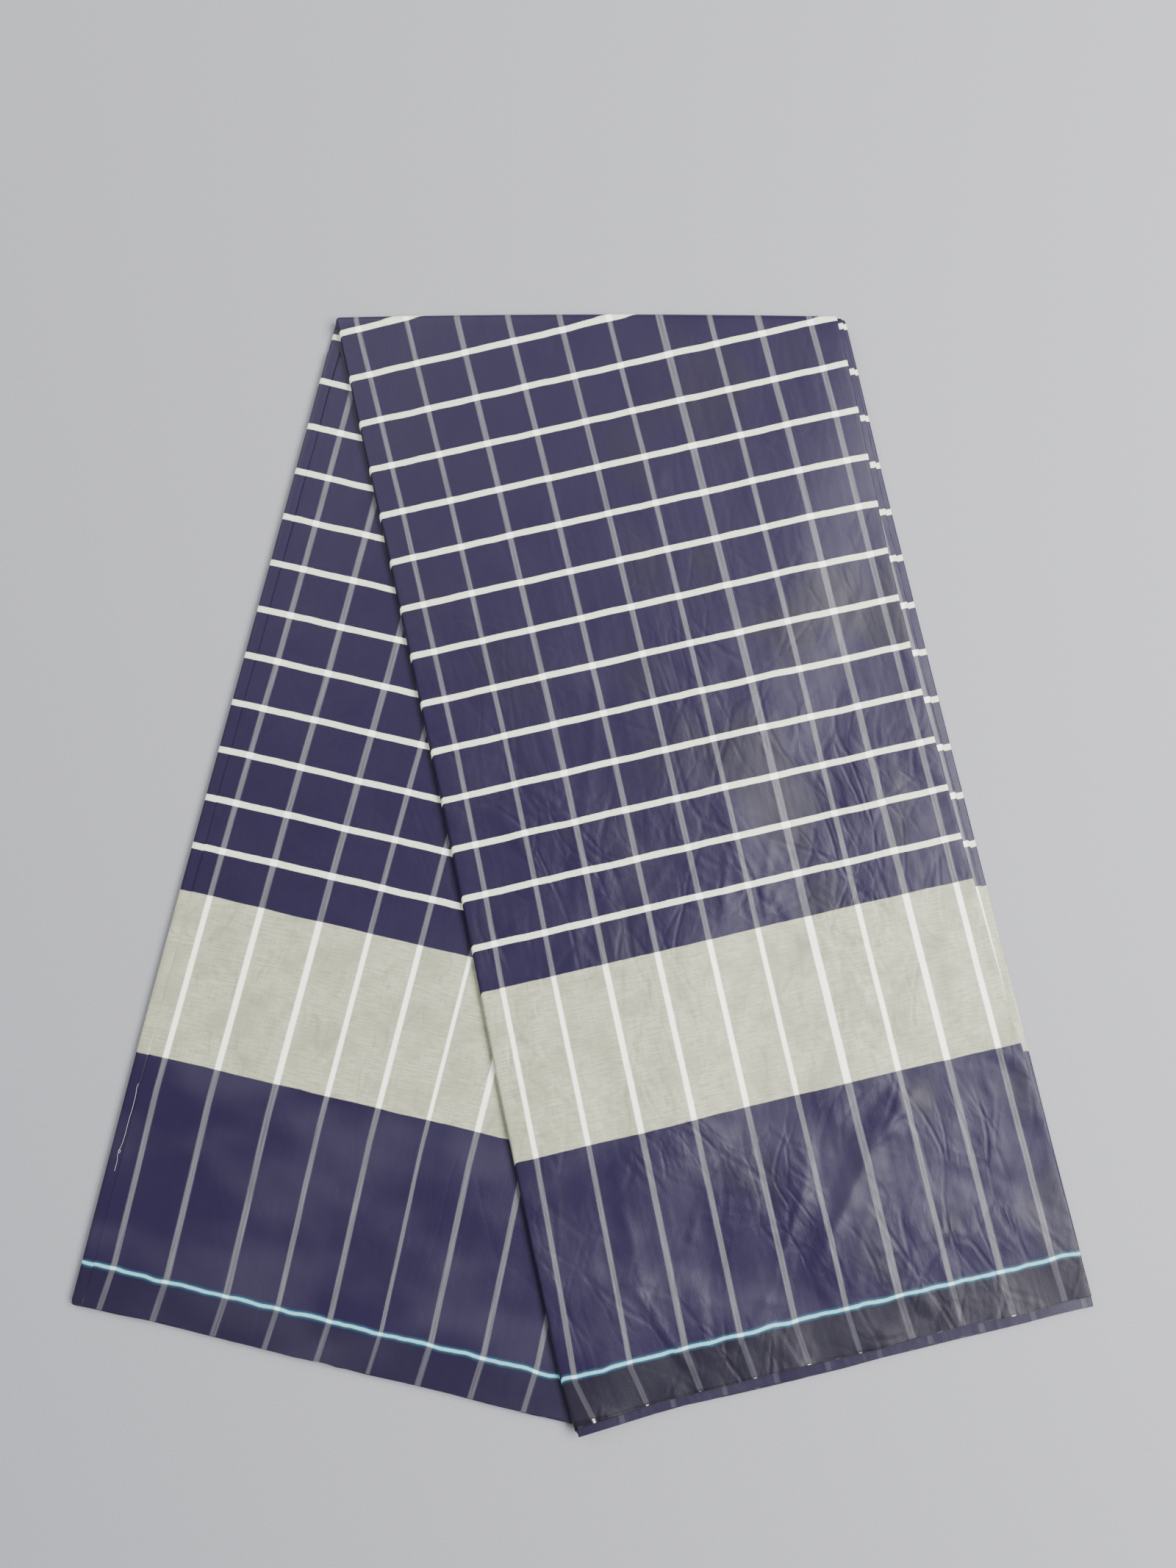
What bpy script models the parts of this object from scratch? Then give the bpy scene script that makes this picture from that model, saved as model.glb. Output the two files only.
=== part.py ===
"""A longyi sarong folded flat: a strip of eight layers, folded once across on a slanted crease.

Metres, +Z up. The crease runs along X at the far end, the two legs spread towards -Y, and the left leg
lies under the right one. The origin is under the middle of the whole outline, on the surface it lies on.
"""
import math
from collections import namedtuple

import bmesh
import bpy
from mathutils import Vector

# The layers. One leg is an outer layer on each face with the hidden layers between them.
WALL = 0.0010            # an outermost layer
GAP = 0.0003             # between neighbouring pieces
CORE = 0.0012            # the hidden layers together
STACK = 2 * WALL + 2 * GAP + CORE
SEAM_THICKNESS = 0.0010

# The fold across. The strip turns half a circle about an axis along X.
SLANT = math.radians(13.0)          # each leg leans this far from -Y
CREASE_LENGTH = 0.2965
INNER_RADIUS = GAP / 2
NEUTRAL_RADIUS = INNER_RADIUS + STACK / 2
HALF_BEND = math.pi / 2 * NEUTRAL_RADIUS
TURN_STEPS = 8
TURN_TAIL = 0.0020                  # the right leg's cloth runs this far past the turn
LEG_RAISE = STACK + 2 * INNER_RADIUS   # the upper leg's height above the surface, on the lower leg

# The legs. side is +1 for the leg on top. reach runs from the crease to the hem at the leg's left edge.
# The shifts are how far the left and right edges have moved along X, against the slant, after one reach.
Leg = namedtuple("Leg", "side reach hem_angle left_shift right_shift stations")
RIGHT_LEG = Leg(1, 0.6125, math.radians(13.3), -0.0036, -0.0046, 26)
LEFT_LEG = Leg(-1, 0.5520, math.radians(12.9), -0.0042, -0.0118, 8)
CORE_PROUD = {1: 0.0058, -1: 0.0010}   # the hidden layers show this far past each leg's hem
DRAPE_REACH = 0.045                    # the upper leg comes down over this distance beside the lower one

# The open side. Each layer's folded edge stands this far back from the outermost one.
TOP_SETBACK = 0.0080                   # at the crease, and nothing at the hem
UPPER_CORE_SETBACK = 0.0036
BOTTOM_SETBACK = 0.0020
NOTCH_DEPTH = 0.0140
EDGE_ROUND = 0.0004

# How a section is divided across the leg.
LEFT_ROUND = 0.6 * STACK               # width of the rounded left edge
ROUND_STEPS = 6
FLAT_STEPS = 4
DRAPE_STEPS = 6
NEAR_EDGE = 0.034                      # the drape's points keep this far inside the open side at the crease
EDGE_MARGIN = 0.012

# The side seam, on the left leg's face.
SEAM_WIDTH = 0.0046
SEAM_START = 0.04                      # as a share of the leg's reach, clear of the leg on top

NAVY = (0.060, 0.052, 0.105, 1.0)
DEEP_NAVY = (0.045, 0.040, 0.082, 1.0)
GREY_NAVY = (0.080, 0.074, 0.125, 1.0)
THREAD = (0.24, 0.24, 0.30, 1.0)


def hem_slope(leg):
    """How fast the hem's distance from the crease changes along X."""
    return math.tan(leg.hem_angle) / (1 + math.tan(leg.hem_angle) * math.tan(SLANT))


def distance_down(leg, share, across):
    """Distance from the crease on the station that lies a share of the way to the hem."""
    return share * (leg.reach - leg.side * hem_slope(leg) * across)


def lower_leg_edge(down):
    """Where the lower leg's open side lies under the upper leg, measured across the upper leg."""
    shift = LEFT_LEG.right_shift * down / LEFT_LEG.reach
    return CREASE_LENGTH + shift - 2 * (down + HALF_BEND) * math.tan(SLANT)


def left_edge(leg, share):
    return leg.left_shift * share


def right_edge(leg, share):
    return CREASE_LENGTH + leg.right_shift * share


def drape_start(share):
    """Across the upper leg, on one station, where the lower leg's open side crosses it."""
    pull = 2 * math.tan(SLANT) - LEFT_LEG.right_shift / LEFT_LEG.reach
    slope = hem_slope(RIGHT_LEG)
    at_crease = lower_leg_edge(0.0)
    crossing = (at_crease - pull * share * RIGHT_LEG.reach) / (1 - pull * share * slope)
    return min(crossing, right_edge(RIGHT_LEG, share) - NEAR_EDGE)


def spread(start, end, steps):
    return [start + (end - start) * i / steps for i in range(steps + 1)]


def flat_points(leg, share):
    """Places across the leg between its rounded left edge and its open side, left to right."""
    drape_share = share if leg.side > 0 else 0.0
    first = left_edge(leg, share) + LEFT_ROUND
    last = right_edge(leg, share) - EDGE_MARGIN
    start = max(drape_start(drape_share), first + 0.004)
    end = min(start + DRAPE_REACH, last - 0.004)
    return (spread(first, start, FLAT_STEPS)[1:-1] + spread(start, end, DRAPE_STEPS)
            + spread(end, last, FLAT_STEPS)[1:])


def arc(centre_across, middle, half_width, half_height, start_degrees, end_degrees):
    """Points on part of an ellipse in a section, (across, depth)."""
    angles = spread(math.radians(start_degrees), math.radians(end_degrees), ROUND_STEPS)
    return [(centre_across + half_width * math.cos(a), middle + half_height * math.sin(a)) for a in angles]


def cloth_section(leg, share):
    """A wall round the hidden layers, open at the right. Depth 0 is the inside of the fold."""
    left = left_edge(leg, share)
    right = right_edge(leg, share)
    flats = flat_points(leg, share)
    top_end = right - TOP_SETBACK * (1 - share * share)
    bottom_end = right - BOTTOM_SETBACK
    middle = STACK / 2
    outer = [(u, STACK) for u in reversed(flats)]
    outer += arc(left + LEFT_ROUND, middle, LEFT_ROUND, middle, 90, 270)
    outer += [(u, 0.0) for u in flats]
    inner = [(u, WALL) for u in reversed(flats)]
    inner += arc(left + LEFT_ROUND, middle, LEFT_ROUND - WALL, middle - WALL, 270, 90)
    inner += [(u, STACK - WALL) for u in flats]
    bottom_tip = [(bottom_end, 0.0), (bottom_end + EDGE_ROUND, WALL / 2), (bottom_end, WALL)]
    top_tip = [(top_end, STACK - WALL), (top_end + EDGE_ROUND, STACK - WALL / 2), (top_end, STACK)]
    return outer + bottom_tip + inner + top_tip


def core_section(leg, share):
    """The hidden layers: round at the left, two stepped folds at the right with a slot between them."""
    left = left_edge(leg, share)
    right = right_edge(leg, share)
    flats = flat_points(leg, share)
    low = WALL + GAP
    high = STACK - WALL - GAP
    middle = STACK / 2
    upper_end = right - UPPER_CORE_SETBACK
    outline = [(u, high) for u in reversed(flats)]
    outline += arc(left + LEFT_ROUND, middle, LEFT_ROUND - WALL - GAP, CORE / 2, 90, 270)
    outline += [(u, low) for u in flats]
    outline += [(right, low), (right + EDGE_ROUND, (low + middle - GAP / 2) / 2), (right, middle - GAP / 2)]
    outline += [(right - NOTCH_DEPTH, middle - GAP / 2), (right - NOTCH_DEPTH, middle + GAP / 2)]
    outline += [(upper_end, middle + GAP / 2), (upper_end + EDGE_ROUND, (high + middle + GAP / 2) / 2)]
    outline += [(upper_end, high)]
    return outline


def seam_section(leg, share):
    """A flat strip just off the left leg's face, beside its rounded edge."""
    start = left_edge(leg, share) + LEFT_ROUND
    near = -GAP
    far = -GAP - SEAM_THICKNESS
    return [(start, near), (start, far), (start + SEAM_WIDTH, far), (start + SEAM_WIDTH, near)]


def drape_height(x, y):
    """How high the upper leg lies above the surface at a place on it."""
    down = FOLD_Y - y
    edge_x = lower_leg_edge(down) + (down + HALF_BEND) * math.tan(SLANT)
    beside = min(max((x - edge_x) / DRAPE_REACH, 0.0), 1.0)
    return LEG_RAISE * (1 - beside * beside * (3 - 2 * beside))


FOLD_Y = 0.0


def place(leg, across, down, depth):
    """A point of a leg: across the strip, down it from the end of the turn, and its depth in the stack."""
    x = across + leg.side * (down + HALF_BEND) * math.tan(SLANT)
    y = FOLD_Y - down
    if leg.side > 0:
        return Vector((x, y, depth + drape_height(x, y)))
    return Vector((x, y, STACK - depth))


def turn_place(across, along, depth):
    """A point in the turn over the crease, along runs from -HALF_BEND on the lower leg to HALF_BEND."""
    angle = along / NEUTRAL_RADIUS
    radius = INNER_RADIUS + depth
    x = across + along * math.tan(SLANT)
    return Vector((x, FOLD_Y + radius * math.cos(angle), STACK + INNER_RADIUS + radius * math.sin(angle)))


def leg_sections(leg, section, first_share=0.0, proud=0.0):
    """Sections of one leg from near the crease to its hem."""
    result = []
    for share in spread(first_share, 1.0, leg.stations):
        result.append([place(leg, u, distance_down(leg, share, u), w) for u, w in section(leg, share)])
    if proud:
        result.append([place(leg, u, distance_down(leg, 1.0, u) + proud, w) for u, w in section(leg, 1.0)])
    return result


def turn_sections(section):
    """Sections round the crease, from the lower leg to the upper one, without the two ends."""
    outline = section(RIGHT_LEG, 0.0)
    steps = spread(-HALF_BEND, HALF_BEND, TURN_STEPS)[1:-1]
    return [[turn_place(u, along, w) for u, w in outline] for along in steps]


def tail_sections(section, length):
    """The short stretch of the right leg's cloth that has already turned under."""
    outline = section(RIGHT_LEG, 0.0)
    return [[place(LEFT_LEG, u, down, w) for u, w in outline] for down in (length, 0.0)]


def loft(name, sections, colour, roughness):
    """One closed solid through matching sections, with flat ends."""
    mesh = bpy.data.meshes.new(name)
    bm = bmesh.new()
    rings = [[bm.verts.new(p) for p in points] for points in sections]
    for ring, following in zip(rings, rings[1:]):
        for i in range(len(ring)):
            j = (i + 1) % len(ring)
            # The diagonal always runs the same way across the leg, so that stacked layers stay parallel.
            if ring[i].co.x < ring[j].co.x:
                bm.faces.new((ring[i], ring[j], following[j]))
                bm.faces.new((ring[i], following[j], following[i]))
            else:
                bm.faces.new((ring[i], ring[j], following[i]))
                bm.faces.new((ring[j], following[j], following[i]))
    bm.faces.new(rings[0])
    bm.faces.new(rings[-1])
    bmesh.ops.recalc_face_normals(bm, faces=bm.faces)
    bm.to_mesh(mesh)
    bm.free()
    mesh.shade_smooth()
    mesh.set_sharp_from_angle(angle=math.radians(35))
    piece = bpy.data.objects.new(name, mesh)
    bpy.context.collection.objects.link(piece)
    material = bpy.data.materials.new(name)
    material.use_nodes = True
    shader = material.node_tree.nodes["Principled BSDF"]
    shader.inputs["Base Color"].default_value = colour
    shader.inputs["Roughness"].default_value = roughness
    mesh.materials.append(material)
    return piece


def right_leg_cloth():
    return (tail_sections(cloth_section, TURN_TAIL) + turn_sections(cloth_section)
            + leg_sections(RIGHT_LEG, cloth_section))


def left_leg_cloth():
    clear_of_tail = (TURN_TAIL + GAP) / LEFT_LEG.reach
    return leg_sections(LEFT_LEG, cloth_section, first_share=clear_of_tail)


def hidden_layers():
    lower = leg_sections(LEFT_LEG, core_section, proud=CORE_PROUD[-1])
    upper = leg_sections(RIGHT_LEG, core_section, proud=CORE_PROUD[1])
    return list(reversed(lower)) + turn_sections(core_section) + upper


def side_seam():
    return leg_sections(LEFT_LEG, seam_section, first_share=SEAM_START)


def main():
    for old in list(bpy.data.objects):
        bpy.data.objects.remove(old, do_unlink=True)
    pieces = {
        "right_leg_cloth": (right_leg_cloth(), NAVY, 0.45),
        "left_leg_cloth": (left_leg_cloth(), DEEP_NAVY, 0.5),
        "hidden_layers": (hidden_layers(), GREY_NAVY, 0.6),
        "side_seam": (side_seam(), THREAD, 0.7),
    }
    points = [p for sections, _, _ in pieces.values() for section in sections for p in section]
    middle_x = (min(p.x for p in points) + max(p.x for p in points)) / 2
    middle_y = (min(p.y for p in points) + max(p.y for p in points)) / 2
    to_middle = Vector((-middle_x, -middle_y, 0.0))
    for name, (sections, colour, roughness) in pieces.items():
        placed = [[p + to_middle for p in section] for section in sections]
        loft(name, placed, colour, roughness)


main()
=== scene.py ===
import math

import bpy
import numpy as np
from mathutils import Matrix, Vector, noise


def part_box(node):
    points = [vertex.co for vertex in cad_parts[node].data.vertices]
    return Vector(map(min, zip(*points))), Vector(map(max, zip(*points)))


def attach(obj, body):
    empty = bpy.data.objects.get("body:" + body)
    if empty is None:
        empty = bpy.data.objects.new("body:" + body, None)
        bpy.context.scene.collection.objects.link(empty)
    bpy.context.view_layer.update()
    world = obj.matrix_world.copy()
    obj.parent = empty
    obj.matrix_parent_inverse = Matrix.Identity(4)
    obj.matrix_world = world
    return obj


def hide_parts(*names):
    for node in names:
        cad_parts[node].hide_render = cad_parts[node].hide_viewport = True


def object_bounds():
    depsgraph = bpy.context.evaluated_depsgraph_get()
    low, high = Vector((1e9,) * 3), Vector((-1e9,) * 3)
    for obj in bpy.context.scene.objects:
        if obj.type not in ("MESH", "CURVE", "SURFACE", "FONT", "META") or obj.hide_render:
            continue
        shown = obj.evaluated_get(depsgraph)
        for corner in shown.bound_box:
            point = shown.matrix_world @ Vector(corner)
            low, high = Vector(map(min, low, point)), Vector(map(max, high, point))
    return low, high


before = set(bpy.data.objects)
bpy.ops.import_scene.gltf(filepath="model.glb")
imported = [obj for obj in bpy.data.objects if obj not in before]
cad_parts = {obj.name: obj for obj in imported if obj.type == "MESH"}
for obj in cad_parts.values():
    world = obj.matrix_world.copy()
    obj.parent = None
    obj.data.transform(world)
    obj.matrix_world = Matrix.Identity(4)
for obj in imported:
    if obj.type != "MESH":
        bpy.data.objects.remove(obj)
cadLow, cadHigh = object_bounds()

# A longyi sarong, folded into a strip of eight layers and then once across on a slanted crease.
# Metres, +Z up. Across runs over a leg from its left folded edge, and down from the crease to the hem.
mm = 0.001

# the folded strip, in the same driving sizes as the solids
fold = {
    "slant": math.radians(13.0),
    "stack": 3.8 * mm,
    "innerRadius": 0.15 * mm,
    "creaseLength": 296.5 * mm,
    "turnLength": 2.75 * mm,  # cloth between the crease and the flat of a leg
    "bulge": 1.7 * mm,  # the crease swells out between its ends
    "bulgeReach": 14 * mm,
    "drapeReach": 58 * mm,
    "lowerRightShift": -11.8 * mm,
    "tail": 2.0 * mm,  # how far the upper leg's sheet runs past the crease
    "plyThickness": 0.3 * mm,
    "rightInset": 0.8 * mm,
    "stripWidth": 300 * mm,
}
neutralRadius = fold["innerRadius"] + fold["stack"] / 2
halfBend = math.pi / 2 * neutralRadius
legRaise = fold["stack"] + 2 * fold["innerRadius"]
tanSlant = math.tan(fold["slant"])
cosSlant = math.cos(fold["slant"])
sinSlant = math.sin(fold["slant"])

# The two legs, their tables in millimetres.
# edges: share of the leg, left edge, right edge, how far the top layer's fold stands back from the
#   right edge, and how far the pair below it does.
# lines: where the thin lines lie across the face. wander: distance along, how far the lines wander
#   there over the whole face, and at its left edge.
# ruling: distance along, and how far that is from the selvage in the cloth.
rightLeg = {
    "side": 1,
    "reach": 612.5 * mm,
    "hemAngle": math.radians(13.3),
    "firstCount": 0,
    "edges": (
        (0.00, 0.0, 296.5, 5.0, 1.8),
        (0.11, 0.0, 296.0, 5.6, 2.0),
        (0.24, 0.1, 295.4, 7.9, 3.7),
        (0.32, 0.0, 294.8, 8.5, 4.2),
        (0.40, -0.2, 294.4, 8.7, 4.4),
        (0.54, -1.0, 294.0, 7.6, 3.8),
        (0.62, -1.9, 293.7, 6.4, 2.6),
        (0.71, -3.2, 293.4, 5.0, 1.5),
        (0.78, -3.8, 293.1, 3.4, 0.9),
        (0.88, -4.1, 292.6, 1.4, 0.6),
        (0.96, -4.3, 292.4, 0.5, 0.4),
        (1.00, -2.6, 291.9, 0.0, 0.3),
    ),
    "lines": (14.0, 42.0, 70.6, 99.4, 128.6, 156.2, 184.8, 213.2, 240.4, 269.4),
    "wander": (
        (0, -2.2, -0.4), (60, -1.2, 0.0), (120, -0.3, 0.2), (260, 0.0, 0.4), (345, 0.0, -1.4),
        (400, -0.1, -3.6), (490, -0.3, -5.4), (560, -0.5, -8.0), (610, -0.6, -10.4), (632, 0.4, -6.0),
    ),
    "ruling": ((-20, 650.4), (10.6, 619.8), (374, 256.4), (398.4, 232.0), (491.4, 139.0), (630.4, 0.0)),
}
leftLeg = {
    "side": -1,
    "reach": 552.0 * mm,
    "hemAngle": math.radians(12.9),
    "firstCount": 14,  # lines are counted on from here, so that the cloth can tell the legs apart
    "edges": (
        (0.00, 0.0, 296.5, 3.0, 1.5),
        (0.18, -1.0, 294.4, 3.2, 1.6),
        (0.35, -2.1, 292.3, 3.4, 1.6),
        (0.47, -3.0, 290.9, 3.4, 1.6),
        (0.60, -3.9, 289.4, 3.2, 1.5),
        (0.76, -4.5, 287.5, 3.0, 1.4),
        (0.96, -4.2, 285.1, 3.0, 1.4),
        (1.00, -4.2, 284.7, 3.0, 1.4),
    ),
    "lines": (13.6, 43.2, 77.0, 105.6, 134.6, 163.0, 190.4, 219.6, 249.0, 278.0),
    "wander": (
        (0, 6.0, 0.0), (50, 5.8, 0.0), (120, 5.0, 0.0), (200, 3.6, 0.0), (250, 2.0, 0.0),
        (300, 0.7, 0.0), (350, -0.2, 0.0), (400, -1.0, 0.0), (450, -1.8, 0.0), (500, -0.7, 0.0),
        (545, 0.0, 0.0), (570, -2.0, 0.0),
    ),
    "ruling": ((-20, 594.0), (9.9, 563.9), (315.2, 256.4), (341.2, 232.0), (432.4, 139.0), (569.4, 1.2)),
}
linePitch = 28.5 * mm
lineBend = {"reach": 285, "most": 1.05, "power": 2.4}  # how the left edge's wander fades rightward
rowPull = 70  # millimetres from the crease over which the rows lie aslant

# where the crease's left end and the end of its turn lie, from the CAD boxes
leftLegShift = 4.2 * mm
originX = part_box("left_leg_cloth")[0].x + leftLegShift + (leftLeg["reach"] + halfBend) * tanSlant
originY = cadHigh.y - fold["innerRadius"] - fold["stack"]

# The eight layers, from the outside of the fold across (0) to its inside (7), in millimetres.
# Columns: height of the middle of the layer, how much further than the first its hem reaches on
# the right leg, and on the left leg.
layers = (
    (3.50, 0.0, 0.6),
    (2.85, 0.7, 0.9),
    (2.45, 5.2, 0.3),
    (2.05, 5.6, 0.8),
    (1.65, 5.9, 0.5),
    (1.25, 5.5, 0.2),
    (0.85, 5.7, 0.4),
    (0.25, 5.3, 0.0),
)
# how far the turn between two layers stands out: four on the left edge, four on the right
swell = {
    "outer": 2.2 * mm, "second": 1.45 * mm, "third": 0.9 * mm, "inmost": 0.4 * mm,
    "top": 0.55 * mm, "bottom": 0.8 * mm, "middle": 0.45 * mm, "inner": 0.5 * mm,
}
# waves: depth, length and seed. The powers say how late down a leg the waves and the steps set in.
hem = {"waves": ((1.3, 26, 12.5), (0.6, 7, 14.5)), "wavePower": 40, "stepPower": 6}


# one column of an edge table, in metres, smoothed between its rows
def column(table, index, shares):
    rows = np.array(table)
    knots, values = rows[:, 0], rows[:, index] * mm
    slopes = np.gradient(values, knots)
    place = np.clip(np.searchsorted(knots, shares, side="right") - 1, 0, len(knots) - 2)
    width = knots[place + 1] - knots[place]
    x = (shares - knots[place]) / width
    return (
        (1 + 2 * x) * (1 - x) ** 2 * values[place]
        + x * (1 - x) ** 2 * width * slopes[place]
        + x * x * (3 - 2 * x) * values[place + 1]
        + x * x * (x - 1) * width * slopes[place + 1]
    )


def smoothStep(x):
    x = np.clip(x, 0.0, 1.0)
    return x * x * (3 - 2 * x)


def hemSlope(leg):
    t = math.tan(leg["hemAngle"])
    return t / (1 + t * tanSlant)


# where the lower leg's open side lies, measured across the upper leg
def lowerLegEdge(down):
    shift = fold["lowerRightShift"] * down / leftLeg["reach"]
    return fold["creaseLength"] + shift - 2 * (down + halfBend) * tanSlant


# how high the upper leg lies: on the lower leg, then down beside it onto the surface
def drapeHeight(across, down):
    beside = (across - lowerLegEdge(down)) / fold["drapeReach"]
    return legRaise * (1 - smoothStep(beside))


# Creases on the face of each leg, in millimetres: half width, lift (below nothing for a trough), and
# the points each runs through (across the strip, along it from the crease's left corner).
rightLegCreases = (
    # the long press mark down the left half
    (3.4, 0.32, (122, 150), (114, 182), (103, 235), (87, 285), (65, 345), (52, 395), (42, 440), (30, 505)),
    (1.6, -0.14, (110, 182), (99, 235), (83, 285), (59, 345), (45, 395)),
    # the great fold below the band: a trough with a ridge on each side
    (3.6, -1.2, (222, 486), (203, 499), (183, 513), (162, 537), (147, 555), (125, 583), (103, 594)),
    (13.0, 0.75, (206, 474), (184, 494), (160, 516), (140, 540), (118, 570)),
    (6.5, 1.7, (232, 496), (213, 508), (193, 523), (172, 547), (157, 566), (136, 590)),
    (2.4, 0.7, (158, 524), (140, 552), (120, 583), (104, 604)),
    (2.0, -0.5, (172, 500), (160, 520), (154, 546)), (2.2, 0.5, (204, 494), (212, 520), (214, 545)),
    (2.2, 0.55, (176, 560), (190, 548), (216, 541), (240, 546)),
    (2.0, -0.5, (228, 520), (246, 526), (268, 520)), (2.4, 0.5, (140, 588), (148, 602), (150, 622)),
    (2.6, 0.5, (168, 576), (190, 584), (214, 580), (236, 588)),
    # creases that fan out over the edge of the leg beneath
    (2.2, 0.42, (126, 344), (112, 356), (97, 371)), (2.0, -0.34, (118, 350), (116, 372), (113, 396)),
    (1.8, 0.46, (153, 344), (146, 362), (136, 397)), (1.6, -0.5, (158, 374), (148, 386), (139, 399)),
    (1.6, -0.32, (150, 371), (147, 398)), (2.0, 0.46, (177, 345), (168, 370), (157, 396)),
    (1.6, -0.5, (160, 380), (165, 388), (170, 396)), (1.5, 0.4, (175, 378), (168, 386), (162, 391)),
    (1.5, -0.62, (194, 346), (186, 361)), (3.6, -0.8, (213, 326), (199, 329), (186, 336)),
    (3.4, 0.6, (210, 318), (196, 322), (182, 330)), (2.2, -0.4, (188, 375), (196, 392)),
    (2.6, 0.3, (201, 340), (204, 372), (201, 396)), (1.8, -0.42, (147, 333), (156, 319)),
    (1.7, 0.4, (160, 322), (170, 310), (176, 306)), (1.5, 0.34, (113, 315), (127, 306), (140, 297)),
    (2.4, 0.3, (116, 325), (148, 305)), (2.0, 0.26, (108, 286), (132, 277), (166, 268)),
    (1.8, -0.26, (170, 281), (190, 280)), (1.3, -0.52, (133, 235), (143, 247), (154, 259)),
    (1.6, 0.24, (129, 246), (112, 258)), (1.8, 0.26, (54, 265), (48, 278)),
    (1.8, 0.28, (57, 305), (50, 318)), (1.8, 0.26, (47, 332), (42, 345)),
    (2.4, 0.3, (93, 322), (90, 333), (98, 343)),
    # the right side
    (1.8, 0.34, (244, 249), (254, 235), (265, 218)), (2.2, 0.26, (243, 335), (260, 351), (274, 360)),
    (3.6, -0.45, (280, 362), (262, 371)), (5.0, -0.5, (268, 380), (248, 396), (241, 398)),
    (7.0, -0.4, (236, 262), (228, 300), (222, 330)),
    # long soft marks of the folds beneath
    (8.0, -0.40, (196, 60), (200, 160), (205, 250), (214, 330)),
    (10.0, 0.25, (228, 90), (232, 200), (240, 330)), (11.0, 0.30, (150, 90), (152, 200), (150, 330)),
    (1.5, -0.15, (192, 55), (193, 120), (194, 190)), (1.5, -0.3, (193, 205), (195, 228)),
    (1.3, -0.14, (170, 130), (171, 220), (171, 300)), (1.3, -0.14, (143, 232), (144, 290)),
    (1.5, -0.18, (196, 270), (196, 320)), (1.4, -0.1, (181, 60), (182, 110)),
    # small marks near the crease
    (1.5, 0.3, (83, 74), (76, 84)), (1.7, 0.28, (150, 76), (140, 89)), (2.4, 0.22, (120, 46), (116, 60)),
    (1.6, 0.25, (112, 106), (104, 121)), (5.0, 0.35, (107, 126), (92, 138), (76, 152)),
    (3.5, 0.3, (66, 154), (50, 168)), (2.2, 0.24, (42, 180), (30, 198)),
    (2.0, 0.3, (166, 132), (158, 141)), (2.0, 0.25, (232, 124), (224, 134)),
    # soft ones over the band
    (1.8, 0.34, (154, 404), (147, 422), (140, 438)), (3.0, -0.3, (172, 402), (175, 450), (172, 485)),
    (2.6, 0.22, (128, 402), (122, 440), (116, 470)), (2.4, 0.3, (201, 420), (206, 470)),
    (4.0, -0.25, (222, 404), (214, 440), (218, 478)), (4.5, 0.35, (262, 405), (252, 440), (256, 484)),
    (2.2, 0.2, (104, 405), (96, 440)),
    # below the band, left
    (1.5, 0.95, (38, 563), (45, 571), (51, 582), (57, 602), (64, 616), (75, 628)),
    (3.4, -0.4, (41, 569), (50, 593), (59, 618)), (2.6, 0.42, (35, 527), (26, 548), (28, 574)),
    (2.8, -0.42, (50, 497), (42, 524), (40, 548)), (2.4, 0.36, (46, 524), (50, 540), (49, 556)),
    (2.0, 0.34, (20, 493), (15, 506), (12, 530)), (1.3, -0.34, (44, 565), (59, 559)),
    (3.0, 0.26, (8, 548), (18, 557), (27, 556)),
    # below the band, middle
    (1.9, 0.42, (90, 517), (98, 530), (113, 531), (117, 520), (110, 511)),
    (1.7, -0.45, (70, 530), (78, 541), (84, 549)), (1.7, -0.42, (73, 547), (80, 556), (87, 565)),
    (1.8, 0.45, (89, 534), (83, 548), (76, 563)), (2.2, -0.3, (96, 544), (91, 560), (88, 580)),
    (2.2, 0.3, (74, 590), (82, 588), (92, 592)), (3.0, 0.26, (122, 500), (100, 506)),
    (1.8, 0.42, (104, 590), (118, 596), (134, 589)),
    # below the band, right
    (1.7, -0.55, (219, 526), (228, 533), (237, 541)), (1.5, -0.32, (227, 519), (237, 518)),
    (1.5, -0.5, (213, 541), (216, 557)), (1.5, 0.46, (256, 503), (260, 516), (259, 531)),
    (1.9, -0.42, (244, 546), (252, 560), (262, 566)), (2.6, 0.35, (246, 530), (258, 548)),
    (2.4, 0.5, (203, 577), (196, 588), (187, 601)), (2.0, -0.42, (194, 573), (201, 588), (206, 601)),
    (2.4, 0.3, (222, 575), (226, 598)), (1.8, -0.3, (256, 589), (262, 602)),
    (3.4, 0.32, (176, 560), (166, 585), (161, 604)), (4.0, 0.3, (264, 575), (272, 600)),
    # the right edge lifts a little
    (15.0, 1.0, (288, 470), (287, 540), (286, 604)),
    # small ones at the hem
    (1.3, 0.32, (128, 612), (131, 629)), (1.3, 0.36, (154, 608), (158, 614), (167, 619)),
    (1.3, -0.36, (143, 619), (145, 630)), (1.5, -0.3, (187, 611), (183, 621)),
    (1.4, -0.34, (204, 612), (213, 618)), (1.4, 0.34, (251, 602), (254, 613)),
    (3.0, 0.3, (197, 606), (196, 630)), (3.2, -0.25, (94, 608), (88, 630)),
    (3.0, 0.25, (232, 610), (228, 630)),
)
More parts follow.
